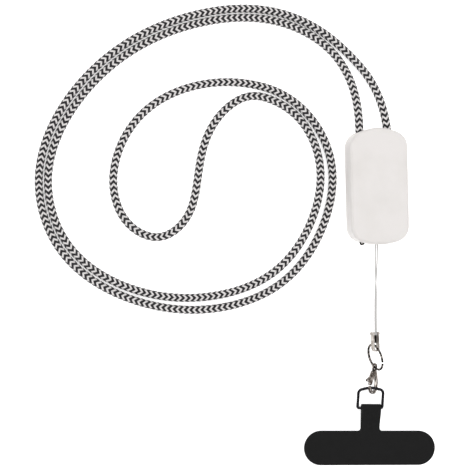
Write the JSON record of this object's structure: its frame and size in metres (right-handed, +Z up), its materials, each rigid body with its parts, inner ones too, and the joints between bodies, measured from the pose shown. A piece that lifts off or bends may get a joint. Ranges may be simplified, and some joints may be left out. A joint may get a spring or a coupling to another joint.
{
  "type": "charging cable lanyard",
  "caption": "Neck loop of braided cable with a flat case, a doubled string, a sprung clasp, a D ring and a fabric tether patch for a phone.",
  "frame": {"origin": "centre of the case's flat back, on the surface the lanyard lies on", "axes": "+Z up from the surface, +Y from the tether patch up towards the neck loop, +X to the case's right seen from above"},
  "size_m": [0.2019, 0.2316, 0.014],
  "materials": {
    "braided_cable": "braided black and white yarn over a round cable",
    "case_plastic": "satin moulded white plastic",
    "string": "twisted white yarn",
    "nickel_plate": "polished nickel plate",
    "black_nickel": "dark plated wire",
    "tether_fabric": "matte black coated fabric with cut edges"
  },
  "bodies": {
    "lanyard": {"neck_cord": "braided_cable", "case_back_shell": "case_plastic", "case_front_shell": "case_plastic", "case_metal_tip": "nickel_plate", "string_left": "string", "string_right": "string", "string_clamp": "nickel_plate", "jump_ring": "nickel_plate", "clasp_body": "nickel_plate", "d_ring": "black_nickel", "tether_patch": "tether_fabric"},
    "clasp_lever": {"clasp_lever": "nickel_plate"}
  },
  "joints": [
    {"name": "lever_hinge", "type": "hinge", "parent": "lanyard", "child": "clasp_lever", "pos_m": [-0.0011, -0.09384, 0.00389], "axis": [0.7192, -0.0168, 0.6946], "range_deg": [0, 16], "stiffness_Nm_per_rad": 0.002, "springref_deg": -11.46}
  ]
}
